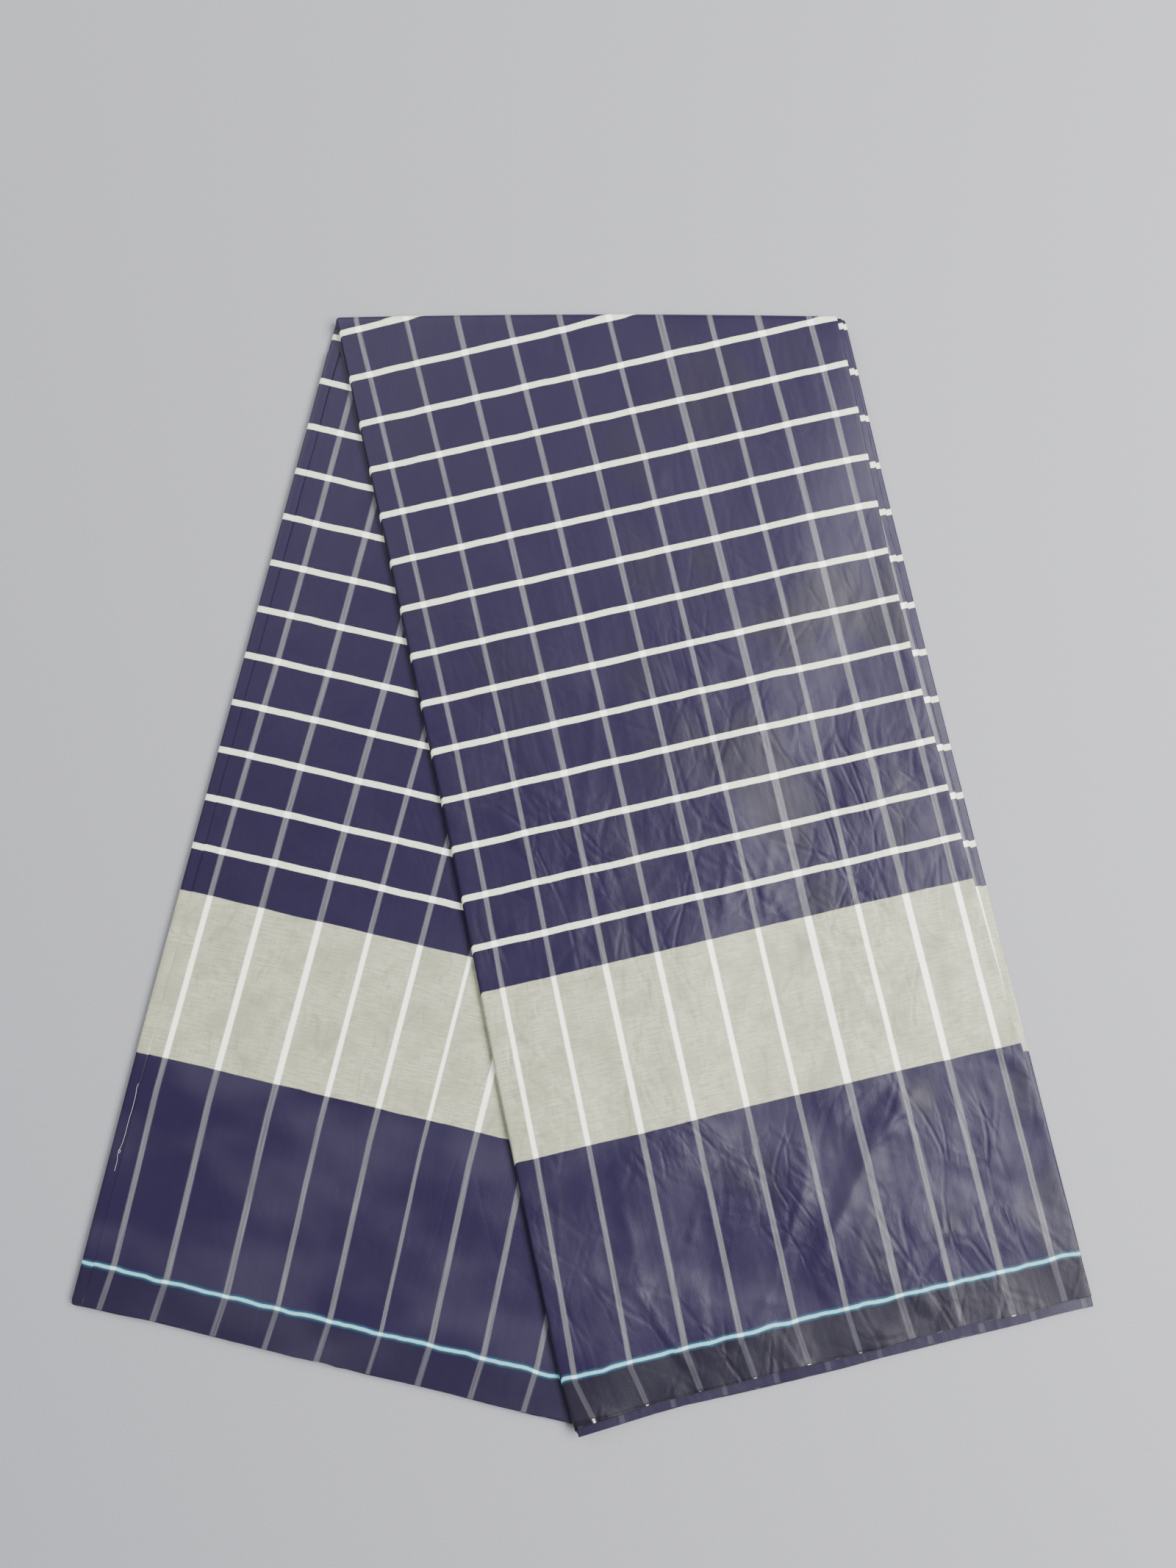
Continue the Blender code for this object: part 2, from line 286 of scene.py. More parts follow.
leftLegCreases = (
    (1.6, 0.32, (72, 181), (59, 198)), (1.7, 0.34, (71, 206), (60, 226)), (2.4, 0.2, (28, 60), (22, 78)),
    (3.0, 0.24, (30, 168), (24, 186), (28, 200)), (3.0, 0.2, (48, 238), (38, 262)),
    (2.4, 0.22, (88, 236), (96, 256)), (11.0, 0.95, (62, 466), (104, 484), (158, 500), (222, 518)),
    (9.0, 0.5, (150, 452), (190, 470), (236, 500)),
    (3.8, 0.5, (136, 496), (143, 509), (160, 518), (182, 533)),
    (6.0, 0.4, (104, 476), (122, 488), (142, 492)), (7.0, 0.3, (60, 470), (92, 480), (118, 500)),
    (2.8, 0.45, (209, 507), (222, 499), (223, 518)), (5.0, 0.3, (196, 470), (214, 478)),
    (3.0, 0.35, (240, 520), (252, 536), (268, 545)), (1.5, -0.4, (238, 555), (250, 567)),
    (1.5, 0.36, (231, 563), (241, 555)), (1.6, -0.34, (254, 549), (249, 568)),
    (1.5, 0.3, (76, 558), (77, 567)), (1.6, 0.28, (163, 552), (165, 566)),
    (1.6, -0.26, (196, 556), (192, 566)), (3.5, 0.2, (34, 352), (40, 392)),
    (3.5, 0.22, (118, 350), (110, 385), (114, 420)), (3.0, 0.2, (66, 346), (64, 400), (66, 428)),
)
# the undersides, which hide the same kind of marks
undersideCreases = (
    (3.0, 0.25, (60, 120), (90, 180), (104, 260)), (2.6, 0.25, (200, 90), (170, 170), (150, 210)),
    (4.0, 0.3, (240, 300), (190, 360), (160, 430)), (2.6, 0.25, (40, 330), (70, 390), (76, 450)),
    (3.2, 0.3, (120, 470), (180, 500), (230, 560)), (2.4, 0.2, (250, 160), (236, 230)),
    (2.0, 0.25, (30, 500), (66, 530)),
)
creaseShape = {"endShare": 0.28, "endDepth": 0.15, "sharpness": 1.2}


# the sum of the creases at points on a leg, everything in metres
def creaseHeights(creases, across, along):
    total = np.zeros_like(across)
    for halfWidth, lift, *points in creases:
        route = np.array(points) * mm
        lengths = np.hypot(*(route[1:] - route[:-1]).T)
        before = np.concatenate([[0], np.cumsum(lengths)])
        nearest = np.full(across.shape, 1.0)
        travelled = np.zeros_like(across)
        for start, end, length, gone in zip(route, route[1:], lengths, before):
            step = (end - start) / length
            reached = np.clip((across - start[0]) * step[0] + (along - start[1]) * step[1], 0, length)
            distance = np.hypot(across - start[0] - reached * step[0], along - start[1] - reached * step[1])
            closer = distance < nearest
            nearest[closer] = distance[closer]
            travelled[closer] = gone + reached[closer]
        fromEnd = np.minimum(travelled, before[-1] - travelled) / (creaseShape["endShare"] * before[-1])
        fade = creaseShape["endDepth"] + (1 - creaseShape["endDepth"]) * smoothStep(fromEnd)
        total += lift * mm * fade * np.exp(-((nearest / (halfWidth * mm)) ** creaseShape["sharpness"]))
    return total


# smooth noise from -1 to 1 over a leg's face, its features about size wide
def noiseField(across, along, size, seed):
    flatAcross, flatAlong = across.ravel() / size, along.ravel() / size
    values = [noise.noise(Vector((a, b, seed))) for a, b in zip(flatAcross, flatAlong)]
    return np.array(values).reshape(across.shape)


# flat facets meeting in straight creases, from -1 to 0, each about size wide
def facetField(across, along, size, seed):
    bend = 0.35 * noiseField(across, along, size * 1.7, seed + 50)
    flatAcross, flatAlong = (across / size + bend).ravel(), (along / size - bend).ravel()
    values = [
        -noise.voronoi(Vector((a, b, seed)), distance_metric="CHEBYCHEV")[0][0]
        for a, b in zip(flatAcross, flatAlong)
    ]
    return np.array(values).reshape(across.shape)


# across the face in thin-line pitches, so that each line falls on a whole number
def lineCount(across, along, leg):
    lines, rows = leg["lines"], np.array(leg["wander"])
    whole = np.interp(along / mm, rows[:, 0], rows[:, 1])
    left = np.interp(along / mm, rows[:, 0], rows[:, 2])
    leftward = np.clip(1 - across / mm / lineBend["reach"], 0, lineBend["most"])
    place = across / mm - whole - left * leftward ** lineBend["power"]
    count = np.interp(place, lines, np.arange(len(lines)))
    before = (place - lines[0]) / (linePitch / mm)
    after = len(lines) - 1 + (place - lines[-1]) / (linePitch / mm)
    return np.where(place < lines[0], before, np.where(place > lines[-1], after, count))


# Distance from the selvage, in metres. tilt pulls the rows aslant near the crease.
def fromSelvage(across, along, leg, tilt=0.0):
    rows = np.array(leg["ruling"])
    pull = tilt * across / mm * np.exp(-np.maximum(along, 0) / mm / rowPull)
    return np.interp(along / mm - pull, rows[:, 0], rows[:, 1]) * mm


# Path points over one layer, at these shares across it.
# Each is: share across, shift sideways, layer, next layer, how far it has passed to the next.
def flatRun(layer, shares, shift=0.0):
    return [(share, shift * share, layer, layer, 0.0) for share in shares]


# path points round a folded edge, without its two ends, which belong to the layers beside it
def turnRun(startLayer, endLayer, edge, steps, halfWidth, shift=0.0):
    points = []
    outward = -1 if edge == "left" else 1
    for i in range(1, steps):
        angle = math.pi * i / steps
        sideways = outward * halfWidth * math.sin(angle) + shift
        passed = (1 - math.cos(angle)) / 2
        points.append((0.0 if edge == "left" else 1.0, sideways, startLayer, endLayer, passed))
    return points


# The runs joined into one path, as an array for each of its columns. setback is the column of the
# edge table that holds how far the layer stands back from the right edge.
def asPath(*runs):
    table = np.array(layers) * mm
    setbackColumn = {0: 3, 1: 3, 2: 4, 3: 4}
    rows = []
    for share, shift, start, end, passed in (point for run in runs for point in run):
        blended = table[start] * (1 - passed) + table[end] * passed
        layer = start if passed < 0.5 else end
        rows.append((share, shift, *blended, setbackColumn.get(start, 0), layer))
    names = ("share", "shift", "height", "rightHem", "leftHem", "setback", "layer")
    return dict(zip(names, np.array(rows).T))


# how much further than the first layer each point's layer reaches on a leg
def hemReach(leg, path):
    return path["rightHem"] if leg["side"] > 0 else path["leftHem"]


# across places of every path point on every station
def edgeLines(leg, path, shares):
    left, right, topBack, nextBack = (column(leg["edges"], i, shares)[:, None] for i in (1, 2, 3, 4))
    left = left + swell["outer"]
    back = np.where(path["setback"] == 3, topBack, np.where(path["setback"] == 4, nextBack, 0.0))
    right = right - back - fold["rightInset"]
    return left * (1 - path["share"]) + right * path["share"] + path["shift"]


def creaseBulge(across):
    return fold["bulge"] * np.sin(np.pi * np.clip(across / fold["creaseLength"], 0, 1)) ** 0.8


# places, and distances across and along the strip, for a grid of stations by path points
def legPoints(leg, path, shares, shaped=False):
    across = edgeLines(leg, path, shares)
    shares = shares[:, None]
    ownPlace = (path["layer"] * 3.1 + leg["side"] * 5) * mm + 0 * across  # so that no two hems match
    waves = [depth * noiseField(across, ownPlace, length * mm, seed) for depth, length, seed in hem["waves"]]
    further = hemReach(leg, path) * shares ** hem["stepPower"]
    further = further + mm * sum(waves) * shares ** hem["wavePower"]
    down = shares * (leg["reach"] - leg["side"] * hemSlope(leg) * across) + further
    strip = across * cosSlant
    along = (down + fold["turnLength"] + leg["side"] * strip * sinSlant) / cosSlant
    x = across + leg["side"] * (down + halfBend) * tanSlant
    y = creaseBulge(across) * np.exp(-np.maximum(down, 0) / fold["bulgeReach"]) - down
    if leg["side"] > 0:
        z = path["height"] + drapeHeight(across, down)
    else:
        z = fold["stack"] - path["height"] + 0 * across
    if shaped:
        z = z + sheetHeights(leg, path, strip, along)
    return x + originX, y + originY, z, strip, along


# places in the turn over the crease, along it from -halfBend on the lower leg to halfBend
def turnPoints(path, alongTurn):
    across = edgeLines(rightLeg, path, np.zeros(len(alongTurn)))
    alongTurn = alongTurn[:, None]
    angle = alongTurn / neutralRadius
    radius = fold["innerRadius"] + path["height"]
    x = across + alongTurn * tanSlant
    y = radius * np.cos(angle) + creaseBulge(across)
    z = fold["stack"] + fold["innerRadius"] + radius * np.sin(angle)
    strip = across * cosSlant
    along = (alongTurn * fold["turnLength"] / halfBend + strip * sinSlant) / cosSlant
    return x + originX, y + originY, z, strip, along


# a grid laid over the given places, with a map of its threads, and given its thickness
def gridSheet(name, x, y, z, lineAcross, selvage):
    stations, points = x.shape
    bpy.ops.object.select_all(action="DESELECT")
    bpy.ops.mesh.primitive_grid_add(x_subdivisions=points - 1, y_subdivisions=stations - 1, size=1)
    sheet = bpy.context.object
    sheet.name = name
    sheet.data.name = name
    places = np.stack([x, y, z], -1).reshape(-1, 3)
    sheet.data.vertices.foreach_set("co", places.ravel())
    uvLayer = sheet.data.uv_layers.active or sheet.data.uv_layers.new()
    uvLayer.name = "threads"
    corner = np.zeros(len(sheet.data.loops), np.int32)
    sheet.data.loops.foreach_get("vertex_index", corner)
    threads = np.stack([lineAcross, selvage], -1).reshape(-1, 2)
    uvLayer.data.foreach_set("uv", threads[corner].ravel())
    sheet.data.update()
    solid = sheet.modifiers.new("thickness", "SOLIDIFY")
    solid.thickness = fold["plyThickness"]
    solid.offset = 0.0
    bpy.ops.object.modifier_apply(modifier=solid.name)
    bpy.ops.object.shade_smooth_by_angle(angle=math.radians(60))
    return sheet


# A sheet's thread counts and distances from the selvage. Counts follow the face's own lines on its
# layer, and go by distance elsewhere, where counts past 40 mark the layers within.
def threadMap(path, strip, along, leg, faceLayer, tilt=0.0):
    layer = path["layer"]
    onFace = lineCount(strip, along, leg) + leg["firstCount"]
    turnedOver = (layer % 2) != (faceLayer % 2)
    shift = 40 + 0.37 * layer + 0.4 * np.abs(layer - faceLayer) / 7
    within = np.where(turnedOver, fold["stripWidth"] - strip, strip) / linePitch + shift
    selvage = fromSelvage(strip, along, leg, tilt) + hemReach(leg, path)
    return np.where(layer == faceLayer, onFace, within), selvage


# once round the strip on its outermost layer, with a flap turned in at each end
def outerPath(topSteps, turnSteps, underSteps, flap=0.11):
    return asPath(
        flatRun(1, np.linspace(1 - flap, 1, 5)),
        turnRun(1, 0, "right", 5, swell["top"]),
        flatRun(0, np.linspace(1, 0, topSteps + 1)),
        turnRun(0, 7, "left", turnSteps, swell["outer"]),
        flatRun(7, np.linspace(0, 1, underSteps + 1)),
        turnRun(7, 4, "right", 5, swell["bottom"]),
        flatRun(4, np.linspace(1, 1 - flap, 5)),
    )


# stations down a leg, closer together past fineFrom
def stationShares(coarse, fine, fineFrom):
    first = np.linspace(0, fineFrom, coarse + 1)
    return np.concatenate([first, np.linspace(fineFrom, 1, fine + 1)[1:]])


edgeFrom = -1.2 * mm  # sideways past this a face has turned over its left edge


# eases troughs out before they reach the layer beneath
def aboveBelow(height, lowest=-0.22 * mm, softness=0.10 * mm):
    return lowest + softness * np.log1p(np.exp(np.minimum((height - lowest) / softness, 60.0)))


# heights over an outermost layer, fading round its left edge, with creases of their own underneath
def sheetHeights(leg, path, strip, along):
    upper = leg["side"] > 0
    layer = path["layer"]
    top, below = (layer <= 1, layer >= 7) if upper else (layer >= 7, layer <= 0)
    s, t = strip[:, top], along[:, top]
    face = rightHeights(s, t) if upper else leftHeights(s, t)
    edgeShare = rightFace["edgeShare"] if upper else leftFace["edgeShare"]
    heights = np.zeros_like(strip)
    heights[:, top] = aboveBelow(face) * np.where(path["shift"][top] < edgeFrom, edgeShare, 1.0)
    heights[:, below] = np.abs(creaseHeights(undersideCreases, strip[:, below], along[:, below]))
    return heights


# The upper leg's sheet. Where it is crumpled, facets lie between soft ridges.
# steps: over the face, round the left edge, underneath. stations: coarse, fine, share where fine starts.
# waves: height, stretch across and along, size, seed, share where smooth, change where crumpled.
# facets: height, size, seed, the directions of the facets' two sides, whether they come in patches.
# facetFrom: share at the left edge, start and length of the rise. patch, hemWave: mean, swing, size, seed.
rightFace = {
    "steps": (135, 10, 16),
    "stations": (90, 154, 0.52),
    "edgeShare": 0.3,
    "creaseGain": 1.15,
    "crumpled": (205, 200, 0.42, 140),  # starts, how soon it is full, lean, where the lean turns
    "waves": (
        (0.75, 1.0, 0.8, 62, 1.7, 0.7, 0.3),
        (0.18, 1.0, 1.0, 27, 5.1, 0.0, 1.0),
        (0.36, 1.4, 0.5, 24, 7.7, 1.0, -0.5),
    ),
    "facets": (
        (1.9, 46, 9.3, (0.80, 0.60), (-0.42, 0.56), False),
        (1.3, 28, 3.9, (-0.66, 0.88), (0.80, 0.60), True),
        (0.6, 15, 6.3, (1.0, 0.0), (0.0, 1.2), False),
    ),
    "facetBase": 1.3,
    "facetFrom": (0.35, 20, 160),
    "patch": (0.6, 0.9, 70, 31.0),
    "hemFrom": 612,
    "hemWave": (0.25, 0.9, 15, 2.2),
    "easeReach": 22 * mm,
}


# heights on the upper leg's face, at s across the strip and t along it
def rightHeights(s, t):
    h = creaseHeights(rightLegCreases, s, t) * rightFace["creaseGain"]
    start, length, lean, middle = rightFace["crumpled"]
    crumple = smoothStep((t / mm - start + lean * (s / mm - middle)) / length)
    for lift, stretchAcross, stretchAlong, size, seed, smooth, change in rightFace["waves"]:
        wave = noiseField(s * stretchAcross, t * stretchAlong, size * mm, seed)
        h += lift * mm * wave * (smooth + change * crumple)
    least, start, length = rightFace["facetFrom"]
    rightward = crumple * (least + (1 - least) * smoothStep((s / mm - start) / length))
    share, change, size, seed = rightFace["patch"]
    patches = smoothStep(share + change * noiseField(s, t, size * mm, seed))
    for lift, size, seed, one, other, patchy in rightFace["facets"]:
        facet = facetField(s * one[0] + t * one[1], s * other[0] + t * other[1], size * mm, seed)
        h += lift * mm * facet * rightward * (patches if patchy else 1.0)
    h += rightFace["facetBase"] * mm * rightward
    base, lift, size, seed = rightFace["hemWave"]
    nearHem = smoothStep((t / mm - rightFace["hemFrom"]) / 20)
    h += nearHem * mm * (base + lift * noiseField(s, t * 0.3, size * mm, seed))
    return h * smoothStep((t - s * tanSlant) / rightFace["easeReach"])


# the outermost layer of the upper leg, from the turn over the crease to the hem
def rightSheet():
    path = outerPath(*rightFace["steps"])
    tail = legPoints(leftLeg, path, np.array([fold["tail"] / leftLeg["reach"], 0]))
    turn = turnPoints(path, np.linspace(-halfBend, halfBend, 13)[1:-1])
    face = legPoints(rightLeg, path, stationShares(*rightFace["stations"]), shaped=True)
    tail = (*tail[:4], -tail[4])
    x, y, z, strip, along = (np.concatenate(parts) for parts in zip(tail, turn, face))
    piece = gridSheet("right_leg_sheet", x, y, z, *threadMap(path, strip, along, rightLeg, 0))
    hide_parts("right_leg_cloth")
    return piece


# the lower leg's sheet, calmer, with its values in the same order
leftFace = {
    "steps": (28, 12, 84),
    "stations": (0.0006, 0.012, 150),  # the first past the upper leg's tail, the next, and how many
    "edgeShare": 0.4,
    "rowTilt": 0.035,
    "waves": ((0.34, 1.0, 0.7, 58, 21.3), (0.13, 1.3, 0.6, 24, 27.7)),
    "ridges": (0.12, 30, 24.9),
    "covered": (0.97, 20 * mm),  # flat under the upper leg: its share of the overlap, and how soon
    "seamEdge": 0.9 * mm,
}


def leftHeights(s, t):
    h = creaseHeights(leftLegCreases, s, t)
    for lift, stretchAcross, stretchAlong, size, seed in leftFace["waves"]:
        h += lift * mm * noiseField(s * stretchAcross, t * stretchAlong, size * mm, seed)
    lift, size, seed = leftFace["ridges"]
    h += lift * mm * np.abs(noiseField(s * 0.8 + t * 0.6, t * 0.5, size * mm, seed))
    # a raised strip where the side seam's edges lie doubled
    leftEdge = column(leftLeg["edges"], 1, np.clip(t / leftLeg["reach"], 0, 1))
    h += seam["raise"] * (1 - smoothStep((s - seam["width"] - leftEdge * cosSlant) / leftFace["seamEdge"]))
    share, reach = leftFace["covered"]
    return h * (1 - smoothStep((s - 2 * tanSlant * t * share) / reach))


# the outermost layer of the lower leg, from just past the crease to the hem
def leftSheet():
    path = outerPath(*leftFace["steps"])
    past, second, count = leftFace["stations"]
    shares = np.concatenate([[fold["tail"] / leftLeg["reach"] + past], np.linspace(second, 1, count)])
    x, y, z, strip, along = legPoints(leftLeg, path, shares, shaped=True)
    threads, selvage = threadMap(path, strip, along, leftLeg, 7, leftFace["rowTilt"])
    piece = gridSheet("left_leg_sheet", x, y, z, threads, selvage)
    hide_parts("left_leg_cloth")
    return piece


innerLayers = {"steps": 12, "flap": 0.12, "lowerStations": 31, "upperStations": 43, "inset": -0.6 * mm}


# the six layers inside, one length of cloth turned back and forth, through both legs
def innerSheet():
    flap, inset = innerLayers["flap"], innerLayers["inset"]
    shares = np.linspace(0, 1, innerLayers["steps"] + 1)
    path = asPath(
        flatRun(1, (1 - flap) * (1 - shares)),
        turnRun(1, 6, "left", 6, swell["second"]),
        flatRun(6, shares, inset),
        turnRun(6, 5, "right", 4, swell["middle"], inset),
        flatRun(5, 1 - shares, inset),
        turnRun(5, 2, "left", 5, swell["third"]),
        flatRun(2, shares),
        turnRun(2, 3, "right", 4, swell["inner"]),
        flatRun(3, 1 - shares),
        turnRun(3, 4, "left", 4, swell["inmost"]),
        flatRun(4, (1 - flap) * shares),
    )
    lower = legPoints(leftLeg, path, np.linspace(1, 0, innerLayers["lowerStations"]))
    turn = turnPoints(path, np.linspace(-halfBend, halfBend, 11)[1:-1])
    upper = legPoints(rightLeg, path, np.linspace(0, 1, innerLayers["upperStations"]))
    x, y, z, strip, along = (np.concatenate(parts) for parts in zip(lower, turn, upper))
    onLower = len(lower[0]) + len(turn[0]) // 2
    threads, selvage = threadMap(path, strip, along, rightLeg, 99)
    selvage[:onLower] = threadMap(path, strip, along, leftLeg, 99)[1][:onLower]
    piece = gridSheet("inner_layers", x, y, z, threads, selvage)
    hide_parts("hidden_layers")
    return piece


seam = {
    "width": 6.3 * mm,
    "inset": 0.5 * mm,
    "raise": 0.02 * mm,
    "lift": 0.32 * mm,
    "ply": 0.32 * mm,
    "waver": (0.22 * mm, 61),
    "roll": (0.45 * mm, 0.3),
    "wave": (0.09 * mm, 14 * mm, 41.0),
    "from": 0.030,
    "to": 0.998,
    "stations": 130,
    "threadRadius": 0.07 * mm,
    "threadColour": (0.50, 0.51, 0.50, 1.0),
    # the loose white sewing thread, in millimetres across and along the lower leg
    "thread": (
        (1.6, 449), (1.0, 451.5), (1.7, 454), (1.9, 462), (1.4, 470), (1.7, 478), (1.1, 484), (0.2, 486.4),
        (0.9, 487.6), (1.6, 486.0), (0.8, 485.2), (0.3, 488.4), (1.2, 492), (1.0, 497),
    ),
}


# the doubled edge of the side seam, lying along the lower leg's left folded edge
def seamSheet():
    shares = np.linspace(seam["from"], seam["to"], seam["stations"])
    # the lower ply, the turn and the upper ply
    across = np.concatenate([np.linspace(1, 0, 7), [-0.025, -0.035, -0.025], np.linspace(0, 1, 9)])
    upper = np.concatenate([np.zeros(7), [0.15, 0.5, 0.85], np.ones(9)]) * seam["ply"]
    onStrip = np.clip(across, 0, 1)
    edge = column(leftLeg["edges"], 1, shares)[:, None]
    place = edge + seam["inset"] + seam["width"] * across / cosSlant
    waver, often = seam["waver"]
    place = place + waver * np.sin(shares * often)[:, None] * onStrip ** 4
    down = shares[:, None] * (leftLeg["reach"] + hemSlope(leftLeg) * place)
    strip = place * cosSlant
    along = (down + fold["turnLength"] - strip * sinSlant) / cosSlant
    x = place - (down + halfBend) * tanSlant + originX
    z = fold["stack"] - layers[7][0] * mm + seam["lift"] + seam["raise"]
    # its left rolls down over the folded edge
    drop, width = seam["roll"]
    z = z - drop * (1 - np.minimum(onStrip / width, 1)) ** 2 + upper
    lift, size, seed = seam["wave"]
    z = z + lift * noiseField(place, along, size, seed)
    threads = lineCount(strip, along, leftLeg) + leftLeg["firstCount"] + 0.28
    selvage = fromSelvage(strip, along, leftLeg, leftFace["rowTilt"]) + 0.25 * mm
    piece = gridSheet("side_seam_fold", x, -down + originY, z, threads, selvage)
    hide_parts("side_seam")
    return piece


# a short end of sewing thread with a knot in it
def seamThread():
    curve = bpy.data.curves.new("seam_thread", "CURVE")
    curve.dimensions = "3D"
    curve.bevel_depth = seam["threadRadius"]
    curve.bevel_resolution = 1
    curve.use_fill_caps = True
    spline = curve.splines.new("NURBS")
    spline.points.add(len(seam["thread"]) - 1)
    spline.order_u = 3
    spline.use_endpoint_u = True
    top = fold["stack"] + seam["lift"] + seam["ply"] + seam["raise"]
    for i, (s, t) in enumerate(seam["thread"]):
        x = originX + (s * cosSlant - t * sinSlant) * mm
        y = originY + fold["turnLength"] - (s * sinSlant + t * cosSlant) * mm
        spline.points[i].co = (x, y, top + (0.15 + 0.25 * (i % 2)) * mm, 1.0)
    piece = bpy.data.objects.new("seam_thread", curve)
    bpy.context.scene.collection.objects.link(piece)
    bpy.ops.object.select_all(action="DESELECT")
    piece.select_set(True)
    bpy.context.view_layer.objects.active = piece
    bpy.ops.object.convert(target="MESH")
    return bpy.context.object


colours = {
    "navy": (28, 21, 46),
    # a lighter tint of painted sheen
    "paintedSheenNavy": (54, 50, 66),
    "selvageNavy": (29, 26, 36),
    # a grey tint of painted sheen
    "paintedSheenGrey": (34, 31, 42),
    "lineOnNavy": (86, 85, 91),
    "row": (212, 216, 191),
    "crossing": (255, 255, 246),
    "band": (153, 154, 131),
    "lineOnBand": (255, 255, 240),
    "cyan": (122, 178, 186),
    "cyanCrossing": (178, 226, 228),
    "teal": (38, 76, 96),
}


# a colour of the table as the shader takes it
def linear(name, gain=1.0):
    shares = [c / 255 for c in colours[name]]
    parts = [c / 12.92 if c <= 0.04045 else ((c + 0.055) / 1.055) ** 2.4 for c in shares]
    return tuple(gain * c for c in parts) + (1.0,)


# short calls for the nodes of one material
class Nodes:
    def __init__(self, material):
        material.use_nodes = True
        self.tree = material.node_tree

    def feed(self, node, inputs):
        for socket, value in inputs.items():
            if isinstance(value, (int, float, tuple)):
                node.inputs[socket].default_value = value
            else:
                self.tree.links.new(value, node.inputs[socket])

    # what comes out of a new node with these inputs and settings
    def add(self, kind, inputs, output=0, **settings):
        node = self.tree.nodes.new("ShaderNode" + kind)
        for key, value in settings.items():
            setattr(node, key, value)
        self.feed(node, inputs)
        return node.outputs[output]

    def surface(self, inputs):
        self.feed(self.tree.nodes["Principled BSDF"], inputs)

    def sum(self, operation, a, b=0.0):
        return self.add("Math", {0: a, 1: b}, operation=operation)

    def plus(self, a, b):
        return self.sum("ADD", a, b)

    def minus(self, a, b):
        return self.sum("SUBTRACT", a, b)

    def times(self, a, b, *more):
        product = self.sum("MULTIPLY", a, b)
        for value in more:
            product = self.sum("MULTIPLY", product, value)
        return product

    def spread(self, value, low, high, least, most, kind="LINEAR"):
        inputs = {"Value": value, "From Min": low, "From Max": high, "To Min": least, "To Max": most}
        return self.add("MapRange", inputs, "Result", interpolation_type=kind)

    # from 0 at low to 1 at high, smoothly
    def rise(self, value, low, high):
        return self.spread(value, low, high, 0.0, 1.0, "SMOOTHSTEP")

    # from 1 at low to 0 at high, smoothly
    def fall(self, value, low, high):
        return self.minus(1.0, self.rise(value, low, high))

    def mix(self, share, a, b):
        return self.add("Mix", {0: share, 6: a, 7: b}, 2, data_type="RGBA")

    # coats laid over a base, each by its share and in a colour of the table
    def paint(self, base, *coats):
        for share, name, gain in coats:
            base = self.mix(share, base, linear(name, gain))
        return base

    def noise(self, vector, scale, detail=2.0, rough=0.5, output="Fac"):
        inputs = {"Vector": vector, "Scale": scale, "Detail": detail, "Roughness": rough}
        return self.add("TexNoise", inputs, output)

    # noise from -0.5 to 0.5
    def waver(self, vector, scale, detail):
        return self.minus(self.noise(vector, scale, detail), 0.5)

    def cells(self, vector, scale, **settings):
        return self.add("TexVoronoi", {"Vector": vector, "Scale": scale}, "Distance", **settings)

    def ribs(self, vector, direction):
        inputs = {"Vector": vector, "Scale": 0.7, "Distortion": 1.5, "Detail Scale": 0.8}
        return self.add("TexWave", inputs, "Fac", wave_type="BANDS", bands_direction=direction)

    def stretch(self, vector, x, y, turn=0.0):
        inputs = {"Vector": vector, "Rotation": (0.0, 0.0, turn), "Scale": (x, y, 1.0)}
        return self.add("Mapping", inputs)

    def join(self, x, y):
        return self.add("CombineXYZ", {0: x, 1: y})


# The pattern, in millimetres from the selvage. widths: for each counted line, its width in
# millimetres and whether a gap shows along its middle.
weave = {
    "rowPitch": 27.95,
    "firstRow": 256.4,
    "rowsFrom": 243.5,
    "rowHalf": 1.72,
    "bandFrom": 139.0,
    "bandTo": 232.0,
    "cyanAt": 23.4,
    "lineHalf": 1.45,  # of a line 3 mm wide
    "gapShare": 0.4,
    "rampPlaces": 40,
    "widths": {
        0: (2.7, 0), 1: (2.7, 0), 2: (3.2, 0), 3: (3.0, 0), 4: (3.1, 1), 5: (2.8, 0), 6: (4.1, 1),
        7: (3.0, 0), 8: (3.7, 0), 9: (3.2, 1), 14: (3.0, 0), 15: (3.0, 0), 16: (3.2, 1), 17: (2.8, 0),
        18: (3.0, 0), 19: (2.2, 0), 20: (3.2, 0), 21: (3.0, 0), 22: (2.8, 0),
    },
}


# where a point lies in the cloth, in millimetres, and on which leg
def threadPlaces(n):
    threads = n.add("SeparateXYZ", {0: n.add("UVMap", {}, uv_map="threads")}).node.outputs
    count = threads["X"]
    across = n.times(count, linePitch / mm)
    fromEdge = n.times(threads["Y"], 1 / mm)
    cloth = n.join(across, fromEdge)
    # threads waver a little, and more beside the selvage
    fine = n.waver(cloth, 0.9, 2.0)
    down = n.plus(fromEdge, n.times(n.waver(cloth, 0.045, 2.0), 1.3))
    down = n.plus(down, n.times(fine, 0.35))
    wavy = n.times(n.waver(n.stretch(cloth, 1.0, 0.4), 0.075, 1.0), n.fall(fromEdge, 25.0, 70.0))
    return {
        "count": count,
        "across": across,
        "fromEdge": fromEdge,
        "cloth": cloth,
        "down": n.plus(down, n.times(wavy, 2.6)),
        "sideways": n.plus(across, n.times(fine, 0.35)),
        "upperLeg": n.sum("LESS_THAN", count, leftLeg["firstCount"] - 2.0),
        "within": n.sum("GREATER_THAN", count, 30.0),
    }


